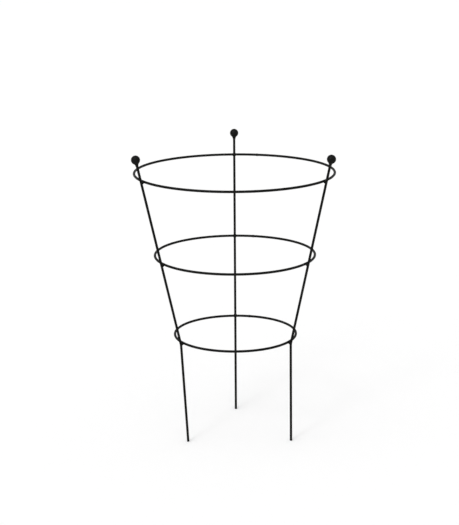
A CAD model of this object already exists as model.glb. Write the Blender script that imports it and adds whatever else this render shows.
"""Looks of the plant support: hoops and bent legs of coated wire, ball finials, welds and the stage.

Every new piece is a closed surface worked out with numpy and stands where its CAD nodes are. Lengths are in
metres and angles in radians, in the frame of the part: the origin is on the hoops' axis at the level of the
stakes' cut ends, +Z is up and -Y is the front. A leg's angle is counted from the front, positive towards +X.
"""

import math

import bpy
import numpy as np
from mathutils import Matrix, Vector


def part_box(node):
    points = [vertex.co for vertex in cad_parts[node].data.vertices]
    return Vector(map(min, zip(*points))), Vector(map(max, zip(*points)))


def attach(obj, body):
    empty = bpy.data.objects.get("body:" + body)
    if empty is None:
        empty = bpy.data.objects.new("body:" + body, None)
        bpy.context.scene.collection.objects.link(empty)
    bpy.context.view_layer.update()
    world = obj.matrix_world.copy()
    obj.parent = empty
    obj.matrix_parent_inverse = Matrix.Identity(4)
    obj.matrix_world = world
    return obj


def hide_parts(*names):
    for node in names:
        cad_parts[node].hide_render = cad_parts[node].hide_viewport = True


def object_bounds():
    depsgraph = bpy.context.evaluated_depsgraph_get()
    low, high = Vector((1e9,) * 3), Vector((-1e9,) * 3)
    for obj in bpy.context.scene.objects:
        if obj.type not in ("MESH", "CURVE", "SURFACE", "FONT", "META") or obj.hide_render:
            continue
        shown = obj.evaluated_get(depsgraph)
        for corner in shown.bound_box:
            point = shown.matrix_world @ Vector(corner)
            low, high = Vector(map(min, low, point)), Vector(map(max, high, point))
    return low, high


bl_info = {
    "name": "Plant support",
    "version": (1, 0, 0),
    "blender": (4, 5, 0),
    "location": "3D View > Sidebar > Plant support",
    "description": "Coated wire plant support with three hoops, three legs, ball finials and a plain stage",
    "category": "Object",
}

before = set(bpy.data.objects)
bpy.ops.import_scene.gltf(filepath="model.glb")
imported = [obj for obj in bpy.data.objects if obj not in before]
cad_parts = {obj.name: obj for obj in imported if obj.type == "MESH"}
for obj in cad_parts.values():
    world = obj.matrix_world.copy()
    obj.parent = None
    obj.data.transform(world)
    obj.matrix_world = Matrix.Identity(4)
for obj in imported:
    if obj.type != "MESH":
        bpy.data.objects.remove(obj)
CAD_BOX = [list(corner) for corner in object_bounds()]

HOOPS = ("top", "middle", "bottom")
LEGS = ("back", "left", "right")

# The farthest that a piece's box may stand off its CAD node's.
MOST_OFF = 0.0015

# Points along each kind of surface, and its sides round it.
HOOP_POINTS = 720
FOOT_POINTS = 9
STAKE_POINTS = 72
BEND_POINTS = 15
UPPER_POINTS = 140
BAR_SIDES = 32
BALL_POINTS = 61
FLARE_POINTS = 25
COLLAR_POINTS = 9
BALL_SIDES = 64
BEAD_POINTS = 98
BEAD_SIDES = 96
SEAM_POINTS = 33
SEAM_SIDES = 64
FLOOR_SIDES = 128

# The part of its wall's square that a finial's collar has lost at its lower end.
COLLAR_THINNING = 0.96

# Halvings of the search for a bead's surface, which leave a billionth of the first reach.
HALVINGS = 30

# A bead's waves: the ripples' part of the ripple height, the lumps' radians a metre along the hoop and along
# the leg, how far each wave moves on from one weld to the next, and how much the welds differ in size.
RIPPLE_SHARE = 0.5
LUMP_RATES = (900, 750)
WELD_TURNS = (2.4, 1.9, 2.7, 1.3, 1.7)
WELD_SPREAD = 0.05

# A butt weld's crown, in parts of its rise: its height, how nearly it is a half ellipse, how far it is sunk
# so that its edge runs under the bar's skin, its one lump and three lumps round the bar, and the height of
# its ripples, with their number round the bar and how they bend over.
CROWN_HEIGHT = 0.901
CROWN_FULLNESS = 0.99
CROWN_SINK = 0.0935
CROWN_LUMPS = (0.18, 0.1)
CROWN_RIPPLES = 0.051
RIPPLES_ROUND = 14
RIPPLE_BEND = 4

# The coat: the powder grains' part of the peel's height, the noise values between which it thickens, how
# much rougher it is where it is thin and smoother where it is thick, how little its matt body mirrors, and
# the resin's index of refraction.
GRAIN_SHARE = 0.06
THICKENING = (0.35, 0.65)
DULLNESS_SPREAD = 0.06
BODY_MIRROR = 0.01
RESIN_IOR = 1.5

# Keeps the floor clear of the stakes' ends.
FLOOR_GAP = 0.0002


def bar_diameter():
    """The bar's diameter as packed: the top hoop's height."""
    low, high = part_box("ring_top")
    return high.z - low.z


def hoop_radius(hoop):
    """Hoop's centreline radius as packed: half its width less half its height, which is the bar's."""
    low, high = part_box(f"ring_{hoop}")
    return (high.x - low.x - (high.z - low.z)) / 2


def hoop_height(hoop):
    """Height of the hoop's centreline as packed."""
    low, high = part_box(f"ring_{hoop}")
    return (high.z + low.z) / 2


def ball_height():
    """Height of the back ball's centre as packed: its top less half its width."""
    low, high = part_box("finial_back")
    return high.z - (high.x - low.x) / 2


def linear(colour):
    """Turn an sRGB hex colour such as #1c1c1b into the linear values that a shader takes, by the standard's
    curve: a straight line near black and a power of 2.4 above it."""
    shares = np.array([int(colour[start:start + 2], 16) for start in (1, 3, 5)]) / 255
    return np.where(shares <= 0.04045, shares / 12.92, ((shares + 0.055) / 1.055) ** 2.4).tolist()


class SupportSizes(bpy.types.PropertyGroup):
    """Real sizes of the plant support."""

    bar_diameter: bpy.props.FloatProperty(
        name="Bar diameter", description="Coated bar of the hoops and the legs",
        default=bar_diameter(), min=0.001, unit="LENGTH", subtype="DISTANCE",
    )
    hoop_radii: bpy.props.FloatVectorProperty(
        name="Hoop radii", description="Top, middle and bottom hoop, axis to the bar's centreline",
        default=[hoop_radius(hoop) for hoop in HOOPS], size=3, unit="LENGTH", subtype="XYZ",
    )
    hoop_heights: bpy.props.FloatVectorProperty(
        name="Hoop heights", description="Top, middle and bottom hoop above the stakes' ends",
        default=[hoop_height(hoop) for hoop in HOOPS], size=3, unit="LENGTH", subtype="XYZ",
    )
    seam_angle: bpy.props.FloatProperty(
        name="Seam angle", description="Where the hoops' ends meet, near the back leg",
        default=math.radians(166), unit="ROTATION", subtype="ANGLE",
    )
    leg_angles: bpy.props.FloatVectorProperty(
        name="Leg angles", description="Back, left and right leg round the axis, from the front",
        default=[math.radians(angle) for angle in (180, -60.2, 59.8)], size=3,
        unit="ROTATION", subtype="EULER",
    )
    leg_skews: bpy.props.FloatVectorProperty(
        name="Leg skews", description="Sideways tilt of the back, left and right leg",
        default=[math.radians(angle) for angle in (0, 1.5, 0)], size=3,
        unit="ROTATION", subtype="EULER",
    )
    stake_leans: bpy.props.FloatVectorProperty(
        name="Stake leans", description="Back, left and right stake, inwards towards the lower end",
        default=[math.radians(angle) for angle in (1.5, 2.8, -0.4)], size=3,
        unit="ROTATION", subtype="EULER",
    )
    weld_gap: bpy.props.FloatProperty(
        name="Weld gap", description="Between a hoop and a leg where they cross",
        default=0.0003, min=0, unit="LENGTH", subtype="DISTANCE",
    )
    bend_drop: bpy.props.FloatProperty(
        name="Bend drop", description="The leg's bend below the bottom hoop",
        default=0.004, unit="LENGTH", subtype="DISTANCE",
    )
    bend_radius: bpy.props.FloatProperty(
        name="Bend radius", description="Centreline radius of the leg's bend",
        default=0.025, min=0.005, unit="LENGTH", subtype="DISTANCE",
    )
    foot_edge: bpy.props.FloatProperty(
        name="Foot edge", description="Rounding of the stake's cut end",
        default=0.0005, min=0.0001, unit="LENGTH", subtype="DISTANCE",
    )
    ball_radius: bpy.props.FloatProperty(
        name="Ball radius", description="Ball of the finial",
        default=0.0089, min=0.003, unit="LENGTH", subtype="DISTANCE",
    )
    ball_height: bpy.props.FloatProperty(
        name="Ball height", description="Balls' centres above the stakes' ends",
        default=ball_height(), unit="LENGTH", subtype="DISTANCE",
    )
    flare_radius: bpy.props.FloatProperty(
        name="Flare radius", description="Hollow curve from the ball down to the bar",
        default=0.0075, min=0.001, unit="LENGTH", subtype="DISTANCE",
    )
    collar_wall: bpy.props.FloatProperty(
        name="Collar wall", description="Wall at the lower end of the flare",
        default=0.0004, min=0.0001, unit="LENGTH", subtype="DISTANCE",
    )
    collar_land: bpy.props.FloatProperty(
        name="Collar land", description="Length over which the flare's lower end thins out on the bar",
        default=0.0008, min=0.0001, unit="LENGTH", subtype="DISTANCE",
    )
    seat_rise: bpy.props.FloatProperty(
        name="Seat rise", description="How far the leg's end stands above the ball's centre, inside it",
        default=0.002, unit="LENGTH", subtype="DISTANCE",
    )


class SupportWelds(bpy.types.PropertyGroup):
    """Real sizes of the welds."""

    half_width: bpy.props.FloatProperty(
        name="Half width", description="Leg weld along the hoop",
        default=0.0055, min=0.001, unit="LENGTH", subtype="DISTANCE",
    )
    half_length: bpy.props.FloatProperty(
        name="Half length", description="Leg weld along the leg",
        default=0.0053, min=0.001, unit="LENGTH", subtype="DISTANCE",
    )
    half_depth: bpy.props.FloatProperty(
        name="Half depth", description="Leg weld from the hoop to the leg",
        default=0.0036, min=0.001, unit="LENGTH", subtype="DISTANCE",
    )
    blend: bpy.props.FloatProperty(
        name="Blend", description="How wide the weld's hollow corner is between the two bars",
        default=0.0026, min=0.0002, unit="LENGTH", subtype="DISTANCE",
    )
    ripple_pitch: bpy.props.FloatProperty(
        name="Ripple pitch", description="From one ripple of the frozen metal to the next",
        default=0.0011, min=0.0002, unit="LENGTH", subtype="DISTANCE",
    )
    ripple_height: bpy.props.FloatProperty(
        name="Ripple height", description="Height of the ripples and lumps",
        default=0.00012, min=0, unit="LENGTH", subtype="DISTANCE",
    )
    edge_sink: bpy.props.FloatProperty(
        name="Edge sink", description="How far a leg weld's edge runs under the bars' skin",
        default=0.0007, min=0, unit="LENGTH", subtype="DISTANCE",
    )
    seam_half_length: bpy.props.FloatProperty(
        name="Seam half length", description="Butt weld along the hoop",
        default=0.002, min=0.0005, unit="LENGTH", subtype="DISTANCE",
    )
    seam_rise: bpy.props.FloatProperty(
        name="Seam rise", description="Height of a butt weld above the bar",
        default=0.00045, min=0, unit="LENGTH", subtype="DISTANCE",
    )


class SupportFinish(bpy.types.PropertyGroup):
    """Colours and surface of the black powder coat."""

    deep_colour: bpy.props.FloatVectorProperty(
        name="Deep colour", description="Coat where it lies thick",
        default=linear("#0b0b0a"), size=3, min=0, max=1, subtype="COLOR",
    )
    thin_colour: bpy.props.FloatVectorProperty(
        name="Thin colour", description="Coat where it lies thin, over edges and welds",
        default=linear("#151514"), size=3, min=0, max=1, subtype="COLOR",
    )
    roughness: bpy.props.FloatProperty(
        name="Roughness", description="Matt body of the cured powder",
        default=0.52, min=0, max=1, subtype="FACTOR",
    )
    skin_share: bpy.props.FloatProperty(
        name="Skin share", description="How much of the surface is closed resin skin, which mirrors a little",
        default=0.09, min=0, max=1, subtype="FACTOR",
    )
    skin_roughness: bpy.props.FloatProperty(
        name="Skin roughness", description="Soft sheen of the resin skin",
        default=0.3, min=0, max=1, subtype="FACTOR",
    )
    peel_spacing: bpy.props.FloatProperty(
        name="Peel spacing", description="From one hump of the coat's orange peel to the next",
        default=0.0014, min=0.0001, unit="LENGTH", subtype="DISTANCE",
    )
    peel_depth: bpy.props.FloatProperty(
        name="Peel depth", description="Height of the coat's orange peel",
        default=0.00013, min=0, unit="LENGTH", subtype="DISTANCE",
    )
    grain_spacing: bpy.props.FloatProperty(
        name="Grain spacing", description="From one powder grain that didn't melt to the next",
        default=0.00025, min=0.00005, unit="LENGTH", subtype="DISTANCE",
    )
    lump_spacing: bpy.props.FloatProperty(
        name="Lump spacing", description="From one lump of the metal under the coat to the next",
        default=0.003, min=0.0001, unit="LENGTH", subtype="DISTANCE",
    )
    lump_depth: bpy.props.FloatProperty(
        name="Lump depth", description="Height of the metal's lumps on a weld",
        default=0.00025, min=0, unit="LENGTH", subtype="DISTANCE",
    )
    patch_spacing: bpy.props.FloatProperty(
        name="Patch spacing", description="From one patch of thicker coat to the next",
        default=0.015, min=0.001, unit="LENGTH", subtype="DISTANCE",
    )


class SupportStage(bpy.types.PropertyGroup):
    """Floor, light and camera."""

    floor_colour: bpy.props.FloatVectorProperty(
        name="Floor colour", description="Plain pale floor",
        default=linear("#f3f3f3"), size=3, min=0, max=1, subtype="COLOR",
    )
    floor_glow: bpy.props.FloatProperty(
        name="Floor glow", description="Faint light that keeps the seen floor white",
        default=0.075, min=0,
    )
    floor_radius: bpy.props.FloatProperty(
        name="Floor radius", description="How far the floor runs out",
        default=20, min=1, unit="LENGTH", subtype="DISTANCE",
    )
    sky_level: bpy.props.FloatProperty(
        name="Sky level", description="Even light from all round",
        default=0.65, min=0,
    )
    lamp_level: bpy.props.FloatProperty(
        name="Lamp level", description="Wide soft light from the upper left",
        default=1.1, min=0,
    )
    lamp_width: bpy.props.FloatProperty(
        name="Lamp width", description="How wide the wide light is, seen from the object",
        default=math.radians(70), min=0, unit="ROTATION", subtype="ANGLE",
    )
    lamp_tilt: bpy.props.FloatProperty(
        name="Lamp tilt", description="Wide light, from overhead down towards the front",
        default=math.radians(38), unit="ROTATION", subtype="ANGLE",
    )
    sheen_level: bpy.props.FloatProperty(
        name="Sheen level", description="Narrow light that draws the sheen along the bars",
        default=0.6, min=0,
    )
    sheen_width: bpy.props.FloatProperty(
        name="Sheen width", description="How wide the narrow light is, seen from the object",
        default=math.radians(12), min=0, unit="ROTATION", subtype="ANGLE",
    )
    sheen_tilt: bpy.props.FloatProperty(
        name="Sheen tilt", description="Narrow light, from overhead down towards the front",
        default=math.radians(52), unit="ROTATION", subtype="ANGLE",
    )
    lamps_turn: bpy.props.FloatProperty(
        name="Lamps' turn", description="Both lights round the object, from the front, negative to the left",
        default=math.radians(-32), unit="ROTATION", subtype="ANGLE",
    )
    camera_place: bpy.props.FloatVectorProperty(
        name="Camera place", description="Where the photograph was taken from",
        default=(0, -2.7895, 1.0738), size=3, unit="LENGTH", subtype="XYZ",
    )
    camera_angles: bpy.props.FloatVectorProperty(
        name="Camera angles", description="Pitch down, turn to the right and roll of the camera",
        default=(0.25057, -0.00397, -0.00753), size=3, unit="ROTATION", subtype="EULER",
    )
    lens: bpy.props.FloatProperty(
        name="Lens", description="Focal length in millimetres for a frame 36 mm high",
        default=97.323, min=10,
    )


def turned(axis, angle):
    """Four by four matrix of a right-handed turn about axis 0, 1 or 2, which are X, Y and Z."""
    matrix = np.eye(4)
    first, second = ((1, 2), (2, 0), (0, 1))[axis]
    matrix[first, first] = matrix[second, second] = math.cos(angle)
    matrix[second, first] = math.sin(angle)
    matrix[first, second] = -math.sin(angle)
    return matrix


def shifted(x, y, z):
    """Four by four matrix of a plain shift."""
    matrix = np.eye(4)
    matrix[:3, 3] = x, y, z
    return matrix


def placed(matrix, points):
    """Points carried by a four by four matrix."""
    return points @ matrix[:3, :3].T + matrix[:3, 3]


def slope_angle(sizes):
    """How far the legs lean out: the arc tangent of the hoops' widening over their rise."""
    widening = sizes.hoop_radii[0] - sizes.hoop_radii[2]
    return math.atan(widening / (sizes.hoop_heights[0] - sizes.hoop_heights[2]))


def leg_outset(sizes):
    """Level distance between a hoop's centreline and a leg's: bar and gap over the cosine of the slope."""
    return (sizes.bar_diameter + sizes.weld_gap) / math.cos(slope_angle(sizes))


def leg_frame(sizes, leg):
    """Matrix of a leg's frame: on its centreline at the middle hoop, X outwards, Y along the hoop."""
    number = LEGS.index(leg)
    out = sizes.hoop_radii[1] + leg_outset(sizes)
    round_axis = turned(2, sizes.leg_angles[number] - math.pi / 2)
    return round_axis @ shifted(out, 0, sizes.hoop_heights[1]) @ turned(0, sizes.leg_skews[number])


def stake_frame(sizes, leg):
    """Matrix of a stake's frame: at the centre of its cut end, Z up along it and X outwards."""
    lean = sizes.stake_leans[LEGS.index(leg)]
    corner_height = sizes.hoop_heights[2] - sizes.bend_drop
    corner_radius = sizes.hoop_radii[2] + leg_outset(sizes) - sizes.bend_drop * math.tan(slope_angle(sizes))
    foot_radius = corner_radius - corner_height * math.tan(lean)
    inwards = foot_radius - sizes.hoop_radii[1] - leg_outset(sizes)
    return leg_frame(sizes, leg) @ shifted(inwards, 0, -sizes.hoop_heights[1]) @ turned(1, lean)


def leg_runs(sizes, leg):
    """The leg's bend angle, and the lengths of its stake and its upper run, both counted from the corner."""
    lean = sizes.stake_leans[LEGS.index(leg)]
    slope = slope_angle(sizes)
    corner_height = sizes.hoop_heights[2] - sizes.bend_drop
    upper = (sizes.ball_height - corner_height) / math.cos(slope) + sizes.seat_rise
    return slope - lean, corner_height / math.cos(lean), upper


def swept(centres, outs, ups, radii, around):
    """A bar carried along a path: each point is the path's point, plus the radius times the cosine of the
    turn round the bar along the first direction and times its sine along the second."""
    turn = np.linspace(0, 2 * math.pi, around, endpoint=False)[None, :, None]
    ring = np.cos(turn) * outs[:, None, :] + np.sin(turn) * ups[:, None, :]
    return centres[:, None, :] + radii[:, :, None] * ring


def grid_faces(rows, around, ring):
    """Corners of the four-sided faces between a grid's rows, joined round each row, and from the last row
    to the first where the grid is a ring."""
    row = np.arange(rows if ring else rows - 1)[:, None]
    column = np.arange(around)[None, :]
    after = (row + 1) % rows
    beside = (column + 1) % around
    corners = (row * around + column, row * around + beside, after * around + beside, after * around + column)
    return np.stack(np.broadcast_arrays(*corners), axis=-1).reshape(-1, 4)


def closing_fans(rows, around):
    """Corners of the triangles that join a grid's first and last row to the two points added after it."""
    column = np.arange(around)
    beside = (column + 1) % around
    low = np.stack((np.full(around, rows * around), beside, column), axis=-1)
    last = (rows - 1) * around
    high = np.stack((np.full(around, rows * around + 1), last + column, last + beside), axis=-1)
    return np.concatenate((low, high))


def inside_volume(points, corners):
    """Signed volume of a closed surface of triangles: a sixth of the sum of the corners' triple products."""
    first, second, third = (points[corners[:, place]] for place in range(3))
    return np.einsum("ij,ij->", first, np.cross(second, third)) / 6


def put_piece(name, grid, ring, material, node):
    """Put a grid of points in the scene as one closed, smooth piece that stands for its CAD node: a ring
    joins its last row to its first, and any other grid is closed by a point at the middle of each end."""
    rows, around = grid.shape[:2]
    points = grid.reshape(-1, 3)
    quads = grid_faces(rows, around, ring)
    fans = np.empty((0, 3), int)
    if not ring:
        points = np.concatenate((points, grid[[0, -1]].mean(axis=1)))
        fans = closing_fans(rows, around)
    centred = points - points.mean(axis=0)
    if inside_volume(centred, np.concatenate((quads[:, :3], quads[:, [0, 2, 3]], fans))) < 0:
        quads = quads[:, ::-1]
        fans = fans[:, ::-1]
    low, high = (np.array(corner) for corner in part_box(node))
    off = max(np.abs(points.min(axis=0) - low).max(), np.abs(points.max(axis=0) - high).max())
    if off > MOST_OFF:
        raise RuntimeError(f"{name} stands {off * 1000:.2f} mm off {node}")
    mesh = bpy.data.meshes.new(name)
    corners = np.concatenate((quads.ravel(), fans.ravel())).astype(np.int32)
    fan_starts = quads.size + 3 * np.arange(len(fans))
    starts = np.concatenate((4 * np.arange(len(quads)), fan_starts)).astype(np.int32)
    mesh.vertices.add(len(points))
    mesh.vertices.foreach_set("co", points.astype(np.float32).ravel())
    mesh.loops.add(len(corners))
    mesh.loops.foreach_set("vertex_index", corners)
    mesh.polygons.add(len(starts))
    mesh.polygons.foreach_set("loop_start", starts)
    mesh.update(calc_edges=True)
    if mesh.validate():
        raise RuntimeError(f"{name} has faulty faces")
    mesh.shade_smooth()
    mesh.materials.append(bpy.data.materials[material])
    piece = bpy.data.objects.new(name, mesh)
    bpy.context.scene.collection.objects.link(piece)
    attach(piece, "root")
    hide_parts(node)


def hoop_points(radius, height, angles):
    """Points of a level circle, and the directions straight out and straight up at each."""
    out = np.stack((np.cos(angles), np.sin(angles), np.zeros_like(angles)), axis=-1)
    up = np.broadcast_to((0.0, 0.0, 1.0), out.shape)
    return out * radius + up * height, out, up


def bent_line(along, corner, bend, radius):
    """Points of a line that goes up Z, turns towards +X round one arc near the corner and goes straight on,
    at the given lengths along it, and the direction across it at each. The arc starts the radius times the
    tangent of half the bend before the corner."""
    first = corner - radius * math.tan(bend / 2)
    turn = np.clip((along - first) / radius, 0, bend)
    beyond = np.maximum(along - first - radius * bend, 0)
    zero = np.zeros_like(along)
    x = radius * (1 - np.cos(turn)) + beyond * math.sin(bend)
    z = np.minimum(along, first) + radius * np.sin(turn) + beyond * math.cos(bend)
    return np.stack((x, zero, z), axis=-1), np.stack((np.cos(turn), zero, -np.sin(turn)), axis=-1)


class SUPPORT_OT_mix_coats(bpy.types.Operator):
    """Make the black powder coat as it lies on bar, ball and weld"""

    bl_idname = "support.mix_coats"
    bl_label = "Powder coats"

    def execute(self, context):
        finish = context.scene.support_finish
        powder_coat("powder_coat_on_bar", finish, peel=1, lumps=0.25, dulling=0)
        powder_coat("powder_coat_on_ball", finish, peel=1.5, lumps=0.15, dulling=-0.06)
        powder_coat("powder_coat_on_weld", finish, peel=0.7, lumps=1, dulling=0.06)
        return {"FINISHED"}


def add_node(tree, kind, settings=None, links=None):
    """Add a node. Settings go by an input's name or number or by a property's name, links by an input's."""
    node = tree.nodes.new(kind)
    for name, value in (settings or {}).items():
        if isinstance(name, int) or name in node.inputs:
            node.inputs[name].default_value = value
        else:
            setattr(node, name, value)
    for name, output in (links or {}).items():
        tree.links.new(output, node.inputs[name])
    return node


def powder_coat(name, finish, peel, lumps, dulling):
    """Matt polyester powder sprayed on steel and baked until it flows: a dull black body under a broken skin
    of resin that gives it a weak soft sheen, with orange peel, a fine grain, and patches where it lies
    thicker and darker. Peel stretches the orange peel, lumps raises the metal's lumps under the coat, and
    dulling adds to the roughness of body and skin."""
    material = bpy.data.materials.new(name)
    material.use_nodes = True
    tree = material.node_tree
    tree.nodes.clear()
    place = add_node(tree, "ShaderNodeTexCoord").outputs["Object"]
    # Orange peel: flat humps from one to two millimetres apart.
    humps = add_node(
        tree, "ShaderNodeTexNoise",
        {"Scale": 1 / (finish.peel_spacing * peel), "Detail": 1.0, "Roughness": 0.4}, {"Vector": place},
    )
    # Powder grains that didn't flow out. Real ones lie closer, and these are drawn a quarter of a millimetre
    # apart, so that a close view shows them.
    grains = add_node(
        tree, "ShaderNodeTexNoise", {"Scale": 1 / finish.grain_spacing, "Detail": 0.0}, {"Vector": place},
    )
    # Lumps under the coat: drawing marks of the bar, or the frozen metal of a weld, three millimetres apart.
    knobs = add_node(
        tree, "ShaderNodeTexNoise",
        {"Scale": 1 / finish.lump_spacing, "Detail": 3.0, "Roughness": 0.6}, {"Vector": place},
    )
    # Patches of thicker and thinner coat, about fifteen millimetres apart.
    patches = add_node(
        tree, "ShaderNodeTexNoise",
        {"Scale": 1 / finish.patch_spacing, "Detail": 3.0, "Roughness": 0.55}, {"Vector": place},
    )
    grainy = add_node(
        tree, "ShaderNodeMath", {"operation": "MULTIPLY_ADD", 1: GRAIN_SHARE},
        {0: grains.outputs["Fac"], 2: humps.outputs["Fac"]},
    )
    lower = add_node(
        tree, "ShaderNodeBump", {"Strength": 1.0, "Distance": finish.lump_depth * lumps},
        {"Height": knobs.outputs["Fac"]},
    )
    upper = add_node(
        tree, "ShaderNodeBump", {"Strength": 1.0, "Distance": finish.peel_depth},
        {"Height": grainy.outputs[0], "Normal": lower.outputs["Normal"]},
    )
    relief = upper.outputs["Normal"]
    thickness = add_node(
        tree, "ShaderNodeMapRange", {"From Min": THICKENING[0], "From Max": THICKENING[1]},
        {"Value": patches.outputs["Fac"]},
    )
    tone = add_node(
        tree, "ShaderNodeMix",
        {"data_type": "RGBA", "A": (*finish.thin_colour, 1), "B": (*finish.deep_colour, 1)},
        {"Factor": thickness.outputs["Result"]},
    )
    dull = finish.roughness + dulling
    dullness = add_node(
        tree, "ShaderNodeMapRange", {"To Min": dull + DULLNESS_SPREAD, "To Max": dull - DULLNESS_SPREAD},
        {"Value": thickness.outputs["Result"]},
    )
    coat = add_node(
        tree, "ShaderNodeBsdfPrincipled",
        {
            "Specular IOR Level": BODY_MIRROR,
            "Coat Weight": finish.skin_share,
            "Coat Roughness": finish.skin_roughness + dulling,
            "Coat IOR": RESIN_IOR,
        },
        {
            "Base Color": tone.outputs["Result"],
            "Roughness": dullness.outputs["Result"],
            "Normal": relief,
            "Coat Normal": relief,
        },
    )
    add_node(tree, "ShaderNodeOutputMaterial", links={"Surface": coat.outputs["BSDF"]})


class SUPPORT_OT_add_hoops(bpy.types.Operator):
    """Add the three hoops, each a round bar carried once round a level circle"""

    bl_idname = "support.add_hoops"
    bl_label = "Hoops"

    def execute(self, context):
        sizes = context.scene.support_sizes
        angles = np.linspace(0, 2 * math.pi, HOOP_POINTS, endpoint=False)
        for hoop, radius, height in zip(HOOPS, sizes.hoop_radii, sizes.hoop_heights):
            centres, outs, ups = hoop_points(radius, height, angles)
            radii = np.full((len(angles), 1), sizes.bar_diameter / 2)
            grid = swept(centres, outs, ups, radii, BAR_SIDES)
            put_piece(f"hoop_{hoop}", grid, True, "powder_coat_on_bar", f"ring_{hoop}")
        return {"FINISHED"}


class SUPPORT_OT_add_legs(bpy.types.Operator):
    """Add the three legs, each a round bar that is bent once under the bottom hoop. Its foot is rounded by a
    quarter circle of the edge's radius"""

    bl_idname = "support.add_legs"
    bl_label = "Legs"

    def execute(self, context):
        sizes = context.scene.support_sizes
        radius = sizes.bar_diameter / 2
        edge = sizes.foot_edge
        turn = np.linspace(0, math.pi / 2, FOOT_POINTS)
        for leg in LEGS:
            bend, corner, upper = leg_runs(sizes, leg)
            setback = sizes.bend_radius * math.tan(bend / 2)
            bend_start = corner - setback
            bend_end = bend_start + sizes.bend_radius * bend
            stake = np.linspace(edge, bend_start, STAKE_POINTS)[1:]
            bent = np.linspace(bend_start, bend_end, BEND_POINTS)[1:]
            straight = np.linspace(bend_end, bend_end + upper - setback, UPPER_POINTS)[1:]
            along = np.concatenate((edge * (1 - np.cos(turn)), stake, bent, straight))
            radii = np.full((len(along), 1), radius)
            radii[:len(turn), 0] = radius - edge + edge * np.sin(turn)
            centres, outs = bent_line(along, corner, bend, sizes.bend_radius)
            ups = np.broadcast_to((0.0, 1.0, 0.0), outs.shape)
            grid = placed(stake_frame(sizes, leg), swept(centres, outs, ups, radii, BAR_SIDES))
            put_piece(f"bar_{leg}", grid, False, "powder_coat_on_bar", f"leg_{leg}")
        return {"FINISHED"}


def finial_profile(sizes):
    """Radii and heights of a finial, from its top to the floor of its bore: the ball's circle down to where
    the hollow flare's circle touches it, that circle down to the collar, the collar's wall thinning out on
    the bar as a quarter ellipse, and the bore back up."""
    bar = sizes.bar_diameter / 2
    collar = bar + sizes.collar_wall
    reach = sizes.ball_radius + sizes.flare_radius
    drop = math.sqrt(reach ** 2 - (collar + sizes.flare_radius) ** 2)
    meeting = math.atan2(collar + sizes.flare_radius, -drop)
    ball = np.linspace(0, meeting, BALL_POINTS)[1:]
    flare = np.linspace(math.pi - meeting, math.pi / 2, FLARE_POINTS)[1:]
    land = np.linspace(0, 1, COLLAR_POINTS)[1:]
    radii = np.concatenate((
        sizes.ball_radius * np.sin(ball),
        collar + sizes.flare_radius * (1 - np.sin(flare)),
        bar + sizes.collar_wall * np.sqrt(1 - COLLAR_THINNING * land ** 2),
        (bar, bar),
    ))
    heights = np.concatenate((
        sizes.ball_radius * np.cos(ball),
        -drop + sizes.flare_radius * np.cos(flare),
        -drop - sizes.collar_land * land,
        (-drop - sizes.collar_land, sizes.seat_rise),
    ))
    return radii, heights


class SUPPORT_OT_add_finials(bpy.types.Operator):
    """Add the three finials, each a ball that runs out in a hollow flare down to the bar"""

    bl_idname = "support.add_finials"
    bl_label = "Finials"

    def execute(self, context):
        sizes = context.scene.support_sizes
        slope = slope_angle(sizes)
        rise = (sizes.ball_height - sizes.hoop_heights[1]) / math.cos(slope)
        radii, heights = finial_profile(sizes)
        centres = np.stack((np.zeros_like(heights), np.zeros_like(heights), heights), axis=-1)
        outs = np.broadcast_to((1.0, 0.0, 0.0), centres.shape)
        ups = np.broadcast_to((0.0, 1.0, 0.0), centres.shape)
        shape = swept(centres, outs, ups, radii[:, None], BALL_SIDES)
        for leg in LEGS:
            grid = placed(leg_frame(sizes, leg) @ turned(1, slope) @ shifted(0, 0, rise), shape)
            put_piece(f"ball_{leg}", grid, False, "powder_coat_on_ball", f"finial_{leg}")
        return {"FINISHED"}


def distance_to_leg(sizes, leg, points):
    """Distance from points to a leg's surface: to the nearer of its two straight runs, which end at the
    corner, less the bar's radius."""
    bend, corner, _ = leg_runs(sizes, leg)
    matrix = stake_frame(sizes, leg)
    from_corner = (points - matrix[:3, 3]) @ matrix[:3, :3] - (0, 0, corner)
    way = np.array((math.sin(bend), 0, math.cos(bend)))
    to_stake = from_corner.copy()
    to_stake[..., 2] = np.maximum(to_stake[..., 2], 0)
    along = np.maximum(from_corner @ way, 0)
    to_upper = from_corner - along[..., None] * way
    nearest = np.minimum(np.linalg.norm(to_stake, axis=-1), np.linalg.norm(to_upper, axis=-1))
    return nearest - sizes.bar_diameter / 2


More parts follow.
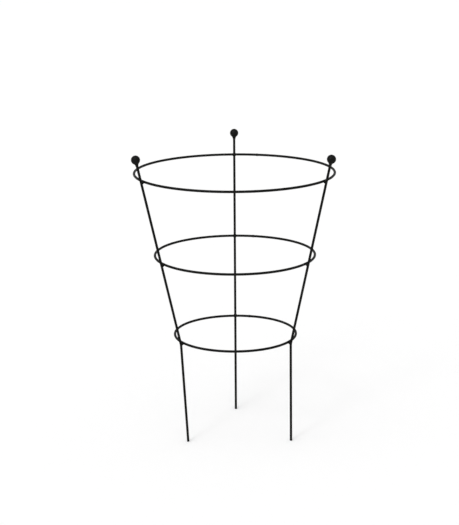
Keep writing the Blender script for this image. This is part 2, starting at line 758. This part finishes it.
def bead_level(sizes, welds, hoop, leg, number, local, points):
    """How far points lie outside a weld bead. The two bars' distances are melted into one: minus the blend
    times the logarithm of the sum of the exponentials of minus each distance over the blend. Ripples across
    the hoop and slow lumps are taken off it, and they die out with the fourth power of the way out to an egg
    of the bead's own size. With the eighth power of that way the bead sinks under the bars' skin. The egg
    bounds it, and a quarter of the blend rounds the edge where they meet."""
    place = HOOPS.index(hoop)
    turns = number * np.array(WELD_TURNS)
    out = np.hypot(points[..., 0], points[..., 1]) - sizes.hoop_radii[place]
    to_hoop = np.hypot(out, points[..., 2] - sizes.hoop_heights[place]) - sizes.bar_diameter / 2
    to_leg = distance_to_leg(sizes, leg, points)
    melted = -welds.blend * np.logaddexp(-to_hoop / welds.blend, -to_leg / welds.blend)
    ripple = np.cos(2 * math.pi * local[..., 1] / welds.ripple_pitch + turns[0])
    lump = np.sin(LUMP_RATES[0] * local[..., 1] + turns[1]) * np.cos(LUMP_RATES[1] * local[..., 2] + turns[2])
    egg = np.array((welds.half_depth, welds.half_width, welds.half_length))
    egg = egg * (1 + WELD_SPREAD * np.array((0, math.sin(turns[3]), math.cos(turns[4]))))
    way_out = np.linalg.norm(local / egg, axis=-1)
    melted = melted - welds.ripple_height * (RIPPLE_SHARE * ripple + lump) * (1 - way_out ** 4)
    melted = melted + welds.edge_sink * way_out ** 8
    bound = (way_out - 1) * egg.min()
    soft = welds.blend / 4
    return soft * np.logaddexp(melted / soft, bound / soft)


class SUPPORT_OT_add_leg_welds(bpy.types.Operator):
    """Add the nine welds where the legs cross the hoops. Along each way out from a point half way between the
    two bars, halving finds where the bead ends"""

    bl_idname = "support.add_leg_welds"
    bl_label = "Leg welds"

    def execute(self, context):
        sizes = context.scene.support_sizes
        welds = context.scene.support_welds
        slope = slope_angle(sizes)
        half_way = (sizes.bar_diameter + sizes.weld_gap) / 2
        tilt = np.linspace(0, math.pi, BEAD_POINTS)[1:-1, None]
        turn = np.linspace(0, 2 * math.pi, BEAD_SIDES, endpoint=False)[None, :]
        ways = np.stack(np.broadcast_arrays(
            np.cos(tilt), np.sin(tilt) * np.cos(turn), np.sin(tilt) * np.sin(turn)), axis=-1)
        for number, (hoop, leg) in enumerate((hoop, leg) for hoop in HOOPS for leg in LEGS):
            rise = sizes.hoop_heights[HOOPS.index(hoop)] - sizes.hoop_heights[1]
            along = rise / math.cos(slope) - leg_outset(sizes) * math.sin(slope)
            matrix = leg_frame(sizes, leg) @ turned(1, slope) @ shifted(-half_way, 0, along)
            low = np.zeros(ways.shape[:2])
            high = np.full(ways.shape[:2], 2 * welds.half_width)
            for _ in range(HALVINGS):
                middle = (low + high) / 2
                local = ways * middle[..., None]
                level = bead_level(sizes, welds, hoop, leg, number, local, placed(matrix, local))
                low = np.where(level < 0, middle, low)
                high = np.where(level < 0, high, middle)
            grid = placed(matrix, ways * low[..., None])
            name = f"bead_{hoop}_{leg}"
            put_piece(name, grid, False, "powder_coat_on_weld", f"weld_{hoop}_{leg}")
        return {"FINISHED"}


def crown_height(number, across, turn):
    """Height of a butt weld over the bar as a part of its rise, from the way across the seam, minus one to
    one, and the turn round the bar. The crown is nearly a half ellipse whose edge sinks under the bar's skin,
    times one lump and three lumps round the bar. The ripples run round the bar, bend over with the square of
    the way across and die out with it."""
    once, thrice = CROWN_LUMPS
    lumps = 1 + once * np.cos(turn + number) + thrice * np.cos(3 * turn + 2 * number)
    crown = CROWN_HEIGHT * np.sqrt(1 - CROWN_FULLNESS * across ** 2) - CROWN_SINK
    ripples = CROWN_RIPPLES * np.cos(RIPPLES_ROUND * turn + RIPPLE_BEND * across ** 2)
    return crown * lumps + ripples * (1 - across ** 2)


class SUPPORT_OT_add_seam_welds(bpy.types.Operator):
    """Add the three butt welds that close the hoops, each a low crown round the bar, highest over the seam"""

    bl_idname = "support.add_seam_welds"
    bl_label = "Seam welds"

    def execute(self, context):
        sizes = context.scene.support_sizes
        welds = context.scene.support_welds
        across = np.linspace(-1, 1, SEAM_POINTS)[:, None]
        turn = np.linspace(0, 2 * math.pi, SEAM_SIDES, endpoint=False)[None, :]
        for number, hoop in enumerate(HOOPS):
            radius = sizes.hoop_radii[number]
            angles = sizes.seam_angle - math.pi / 2 + across[:, 0] * welds.seam_half_length / radius
            centres, outs, ups = hoop_points(radius, sizes.hoop_heights[number], angles)
            radii = sizes.bar_diameter / 2 + welds.seam_rise * crown_height(number, across, turn)
            grid = swept(centres, outs, ups, radii, SEAM_SIDES)
            put_piece(f"butt_{hoop}", grid, False, "powder_coat_on_weld", f"weld_butt_{hoop}")
        return {"FINISHED"}


def seen_rays(tree):
    """One where a ray comes from the camera, a mirror or a glass, and nought elsewhere."""
    rays = add_node(tree, "ShaderNodeLightPath").outputs
    first = add_node(
        tree, "ShaderNodeMath", {"operation": "MAXIMUM"},
        {0: rays["Is Camera Ray"], 1: rays["Is Glossy Ray"]},
    )
    both = add_node(
        tree, "ShaderNodeMath", {"operation": "MAXIMUM"},
        {0: first.outputs[0], 1: rays["Is Transmission Ray"]},
    )
    return both.outputs[0]


class SUPPORT_OT_set_stage(bpy.types.Operator):
    """Set the plain pale floor, the white surroundings, the soft light and the camera"""

    bl_idname = "support.set_stage"
    bl_label = "Stage"

    def execute(self, context):
        scene = context.scene
        stage = scene.support_stage
        scene.view_settings.view_transform = "Standard"
        self.lay_floor(scene, stage)
        self.light_sky(scene, stage)
        self.hang_lamps(scene, stage)
        self.place_camera(scene, stage)
        return {"FINISHED"}

    def lay_floor(self, scene, stage):
        """A flat disc at the stakes' ends, wide enough to fill the view."""
        turn = np.linspace(0, 2 * math.pi, FLOOR_SIDES, endpoint=False)
        rim = stage.floor_radius * np.stack((np.cos(turn), np.sin(turn), np.zeros_like(turn)), axis=-1)
        mesh = bpy.data.meshes.new("floor")
        mesh.from_pydata(rim.tolist(), [], [list(range(len(rim)))])
        floor = bpy.data.objects.new("floor", mesh)
        floor.location.z = CAD_BOX[0][2] - FLOOR_GAP
        scene.collection.objects.link(floor)
        # Matt white studio paper: pale and even, and its own faint glow keeps it white right out to the sky.
        material = bpy.data.materials.new("matt_studio_paper")
        material.use_nodes = True
        tree = material.node_tree
        tree.nodes.clear()
        paper = add_node(
            tree, "ShaderNodeBsdfPrincipled",
            {"Base Color": (*stage.floor_colour, 1), "Roughness": 0.9, "Specular IOR Level": 0.0},
        )
        glow = add_node(
            tree, "ShaderNodeMath", {"operation": "MULTIPLY", 1: stage.floor_glow}, {0: seen_rays(tree)},
        )
        lift = add_node(tree, "ShaderNodeEmission", links={"Strength": glow.outputs[0]})
        both = add_node(tree, "ShaderNodeAddShader", links={0: paper.outputs[0], 1: lift.outputs[0]})
        add_node(tree, "ShaderNodeOutputMaterial", links={"Surface": both.outputs[0]})
        mesh.materials.append(material)

    def light_sky(self, scene, stage):
        """White all round for what is seen, and a softer even light for what is lit."""
        world = bpy.data.worlds.new("white_studio")
        scene.world = world
        world.use_nodes = True
        tree = world.node_tree
        tree.nodes.clear()
        level = add_node(
            tree, "ShaderNodeMapRange", {"To Min": stage.sky_level, "To Max": 1.0},
            {"Value": seen_rays(tree)},
        )
        sky = add_node(
            tree, "ShaderNodeBackground", {"Color": (1, 1, 1, 1)}, {"Strength": level.outputs["Result"]},
        )
        add_node(tree, "ShaderNodeOutputWorld", links={"Surface": sky.outputs[0]})

    def hang_lamps(self, scene, stage):
        """Two soft lights from the upper left, in front of the object: a very wide one that lights it, and a
        weak narrow one that draws the sheen along the bars."""
        for name, level, width, tilt in (
            ("wide_softbox", stage.lamp_level, stage.lamp_width, stage.lamp_tilt),
            ("narrow_softbox", stage.sheen_level, stage.sheen_width, stage.sheen_tilt),
        ):
            lamp = bpy.data.lights.new(name, "SUN")
            lamp.energy = level
            lamp.angle = width
            softbox = bpy.data.objects.new(name, lamp)
            softbox.rotation_euler = (tilt, 0, stage.lamps_turn)
            scene.collection.objects.link(softbox)

    def place_camera(self, scene, stage):
        """The photograph's camera: looking along +Y, pitched down, turned and rolled by the named angles."""
        pitch, turn, roll = stage.camera_angles
        ahead = np.array((
            math.sin(turn) * math.cos(pitch), math.cos(turn) * math.cos(pitch), -math.sin(pitch),
        ))
        level = np.cross(ahead, (0, 0, 1))
        level = level / np.linalg.norm(level)
        above = np.cross(level, ahead)
        matrix = np.eye(4)
        matrix[:3, 0] = level * math.cos(roll) + above * math.sin(roll)
        matrix[:3, 1] = above * math.cos(roll) - level * math.sin(roll)
        matrix[:3, 2] = -ahead
        matrix[:3, 3] = stage.camera_place
        camera = bpy.data.objects.new("camera", bpy.data.cameras.new("camera"))
        scene.collection.objects.link(camera)
        camera.matrix_world = Matrix(matrix.tolist())
        camera.data.lens = stage.lens
        scene.camera = camera


class SUPPORT_PT_pieces(bpy.types.Panel):
    """Pieces of the plant support, their sizes and finish"""

    bl_idname = "SUPPORT_PT_pieces"
    bl_label = "Plant support"
    bl_space_type = "VIEW_3D"
    bl_region_type = "UI"
    bl_category = "Plant support"

    def draw(self, context):
        column = self.layout.column(align=True)
        for operator in OPERATORS:
            column.operator(operator.bl_idname)
        for name in SETTINGS:
            group = getattr(context.scene, name)
            box = self.layout.box()
            for key in group.bl_rna.properties.keys():
                if key not in ("rna_type", "name"):
                    box.prop(group, key)


OPERATORS = (
    SUPPORT_OT_mix_coats,
    SUPPORT_OT_add_hoops,
    SUPPORT_OT_add_legs,
    SUPPORT_OT_add_finials,
    SUPPORT_OT_add_leg_welds,
    SUPPORT_OT_add_seam_welds,
    SUPPORT_OT_set_stage,
)
SETTINGS = {
    "support_sizes": SupportSizes,
    "support_welds": SupportWelds,
    "support_finish": SupportFinish,
    "support_stage": SupportStage,
}


def register():
    """Register the settings, the operators and the panel."""
    for name, group in SETTINGS.items():
        bpy.utils.register_class(group)
        setattr(bpy.types.Scene, name, bpy.props.PointerProperty(type=group))
    for item in (*OPERATORS, SUPPORT_PT_pieces):
        bpy.utils.register_class(item)


def unregister():
    """Take the panel, the operators and the settings out again."""
    for item in (SUPPORT_PT_pieces, *reversed(OPERATORS)):
        bpy.utils.unregister_class(item)
    for name, group in SETTINGS.items():
        delattr(bpy.types.Scene, name)
        bpy.utils.unregister_class(group)


def main():
    """Build every piece and the stage in order."""
    register()
    bpy.ops.support.mix_coats()
    bpy.ops.support.add_hoops()
    bpy.ops.support.add_legs()
    bpy.ops.support.add_finials()
    bpy.ops.support.add_leg_welds()
    bpy.ops.support.add_seam_welds()
    bpy.ops.support.set_stage()


if __name__ == "__main__":
    main()
